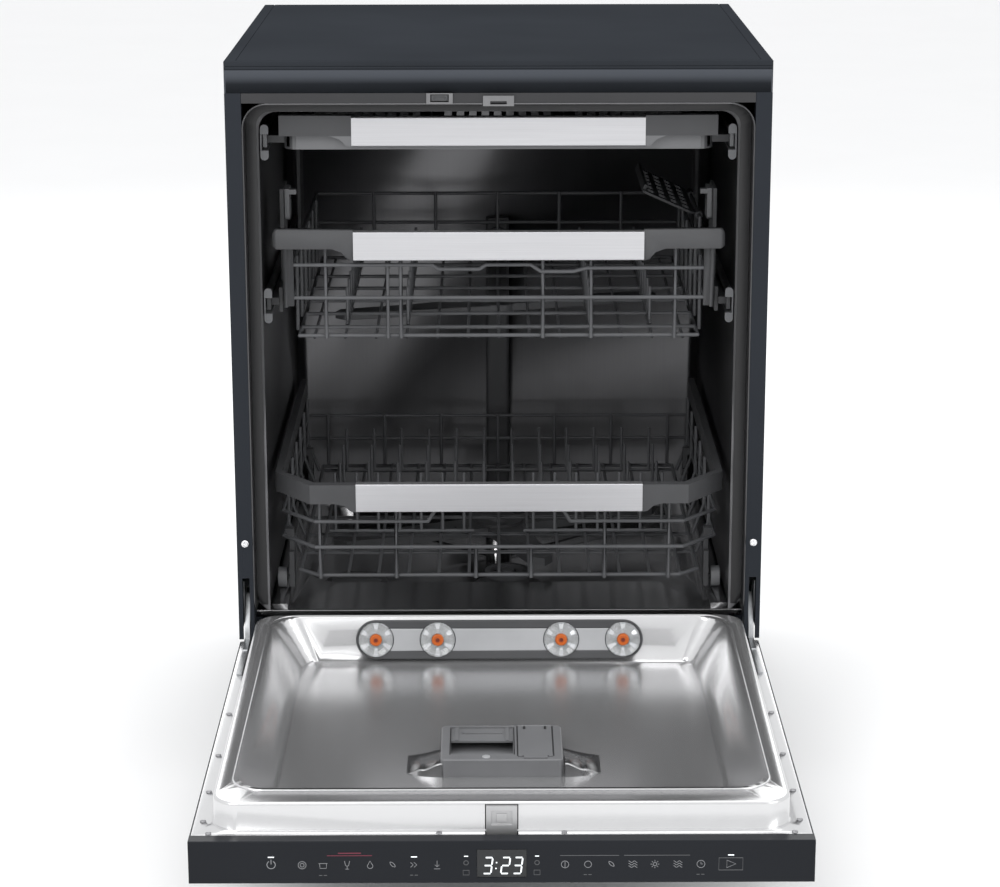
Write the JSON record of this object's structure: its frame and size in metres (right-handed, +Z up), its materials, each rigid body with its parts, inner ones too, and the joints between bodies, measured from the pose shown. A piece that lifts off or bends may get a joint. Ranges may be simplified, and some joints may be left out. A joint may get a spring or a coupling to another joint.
{
  "type": "dishwasher",
  "caption": "Free-standing dishwasher with its drop-down door open, pull-out cutlery tray and two wire baskets, spray arms, dispenser and levelling feet.",
  "frame": {"origin": "on the floor, below the middle of the cabinet's front plane; with the door open this is the bottom centre of the bounding box", "axes": "+Z up, +Y from the front to the back, +X to the right of a person facing the front"},
  "size_m": [0.6, 1.12, 0.85],
  "materials": {
    "slate": "satin",
    "worktop": "satin laminate",
    "steel": "brushed",
    "bright": "brushed",
    "greyplastic": "fine grain",
    "midgrey": "fine grain",
    "wire": "nylon coating",
    "black": "matte",
    "rubber": "matte",
    "galv": "zinc plated",
    "chrome": "polished",
    "clear": "clear",
    "orange": "gloss",
    "fascia": "satin",
    "board": "solder mask",
    "white": "moulded"
  },
  "bodies": {
    "root": {"worktop": "worktop", "side_panel_left": "slate", "side_panel_right": "slate", "back_panel": "galv", "base_tray": "black", "kick_plate": "slate", "front_crossbar": "black", "door_strike": "chrome", "pillar_screws": "chrome", "tub": "steel", "tub_floor": "steel", "door_gasket": "rubber", "hinge_brackets": "galv", "door_springs": "galv", "sump_and_drain_pump": "white", "circulation_pump": "galv", "water_softener": "white", "fill_case": "white", "rear_connections": "greyplastic", "steam_generator": "greyplastic", "feed_pipe": "greyplastic", "rack_rails": "galv", "rail_end_caps": "midgrey"},
    "door": {"door_outer_panel": "slate", "control_fascia": "fascia", "control_board": "board", "door_liner": "steel", "latch": "chrome", "door_screws": "chrome", "hinge_arms": "galv", "steam_bar_bezel": "greyplastic", "steam_bar_cover": "midgrey", "nozzle_lenses": "clear", "steam_nozzles": "orange", "dispenser_housing": "midgrey"},
    "detergent_lid": {"detergent_lid": "midgrey"},
    "rinse_flap": {"rinse_aid_flap": "midgrey"},
    "dispenser_button": {"dispenser_button": "midgrey"},
    "pusher": {"opening_pusher": "chrome"},
    "filter": {"filter_cylinder": "greyplastic"},
    "salt_cap": {"salt_cap": "greyplastic"},
    "lower_arm": {"lower_spray_arm": "greyplastic"},
    "top_tray": {"cutlery_tray": "greyplastic", "cutlery_tray_handle_bar": "bright"},
    "carriage": {"height_carriage": "greyplastic"},
    "mid_basket": {"middle_basket": "wire", "middle_basket_handle_bar": "bright", "middle_basket_frame": "greyplastic"},
    "levers": {"height_levers": "midgrey"},
    "shelf": {"cup_shelf": "greyplastic"},
    "mid_arm": {"middle_spray_arm": "greyplastic"},
    "low_basket": {"lower_basket": "wire", "lower_basket_handle_bar": "bright", "lower_basket_frame": "greyplastic"},
    "rollers_front": {"rollers_front": "midgrey"},
    "rollers_rear": {"rollers_rear": "midgrey"},
    "tines": {"folding_tines": "wire"},
    "foot_fl": {"foot_front_left": "black"},
    "foot_fr": {"foot_front_right": "black"},
    "feet_rear": {"feet_rear": "black"}
  },
  "joints": [
    {"name": "door_hinge", "type": "hinge", "parent": "root", "child": "door", "pos_m": [0, 0.0365, 0.2205], "axis": [1, 0, 0], "range_deg": [-90, 0]},
    {"name": "detergent_lid_slide", "type": "slide", "parent": "door", "child": "detergent_lid", "axis": [0, -1, 0], "range_m": [0, 0.036]},
    {"name": "rinse_flap_hinge", "type": "hinge", "parent": "door", "child": "rinse_flap", "pos_m": [0.0359, -0.2616, 0.179], "axis": [-1, 0, 0], "range_deg": [0, 45]},
    {"name": "dispenser_button_press", "type": "slide", "parent": "door", "child": "dispenser_button", "axis": [0, 0, -1], "range_m": [0, 0.001], "stiffness_N_per_m": 400},
    {"name": "opening_pusher_slide", "type": "slide", "parent": "root", "child": "pusher", "axis": [0, -1, 0], "range_m": [0, 0.04]},
    {"name": "filter_turn", "type": "hinge", "parent": "root", "child": "filter", "pos_m": [0.011, 0.204, 0.18], "axis": [0, 0, 1], "range_deg": [0, 60]},
    {"name": "salt_cap_turn", "type": "hinge", "parent": "root", "child": "salt_cap", "pos_m": [-0.174, 0.2, 0.18], "axis": [0, 0, 1], "range_deg": [0, 330]},
    {"name": "lower_arm_spin", "type": "hinge", "parent": "root", "child": "lower_arm", "pos_m": [0, 0.318, 0.22], "axis": [0, 0, 1], "continuous": true},
    {"name": "cutlery_tray_slide", "type": "slide", "parent": "root", "child": "top_tray", "axis": [0, -1, 0], "range_m": [0, 0.42]},
    {"name": "middle_basket_slide", "type": "slide", "parent": "root", "child": "carriage", "axis": [0, -1, 0], "range_m": [0, 0.42]},
    {"name": "middle_basket_lift", "type": "slide", "parent": "carriage", "child": "mid_basket", "axis": [0, 0, 1], "range_m": [0, 0.035]},
    {"name": "height_levers_tilt", "type": "hinge", "parent": "carriage", "child": "levers", "pos_m": [0, 0.131, 0.676], "axis": [1, 0, 0], "range_deg": [0, 12]},
    {"name": "cup_shelf_fold", "type": "hinge", "parent": "mid_basket", "child": "shelf", "pos_m": [0.238, 0.281, 0.64], "axis": [0, 1, 0], "range_deg": [0, 36]},
    {"name": "middle_arm_spin", "type": "hinge", "parent": "mid_basket", "child": "mid_arm", "pos_m": [0, 0.29, 0.512], "axis": [0, 0, 1], "continuous": true},
    {"name": "lower_basket_slide", "type": "slide", "parent": "root", "child": "low_basket", "axis": [0, -1, 0], "range_m": [0, 0.42]},
    {"name": "front_roller_spin", "type": "hinge", "parent": "low_basket", "child": "rollers_front", "pos_m": [0, 0.096, 0.227], "axis": [1, 0, 0], "continuous": true},
    {"name": "rear_roller_spin", "type": "hinge", "parent": "low_basket", "child": "rollers_rear", "pos_m": [0, 0.44, 0.227], "axis": [1, 0, 0], "continuous": true},
    {"name": "tines_fold", "type": "hinge", "parent": "low_basket", "child": "tines", "pos_m": [0, 0.19, 0.254], "axis": [-1, 0, 0], "range_deg": [0, 82]},
    {"name": "foot_front_left_screw", "type": "slide", "parent": "root", "child": "foot_fl", "axis": [0, 0, 1], "range_m": [-0.03, 0]},
    {"name": "foot_front_right_screw", "type": "slide", "parent": "root", "child": "foot_fr", "axis": [0, 0, 1], "range_m": [-0.03, 0]},
    {"name": "feet_rear_screw", "type": "slide", "parent": "root", "child": "feet_rear", "axis": [0, 0, 1], "range_m": [-0.03, 0]}
  ],
  "couplings": [
    {"joint": "front_roller_spin", "follows": "lower_basket_slide", "rad_per_m": 83.333},
    {"joint": "rear_roller_spin", "follows": "lower_basket_slide", "rad_per_m": 83.333}
  ]
}
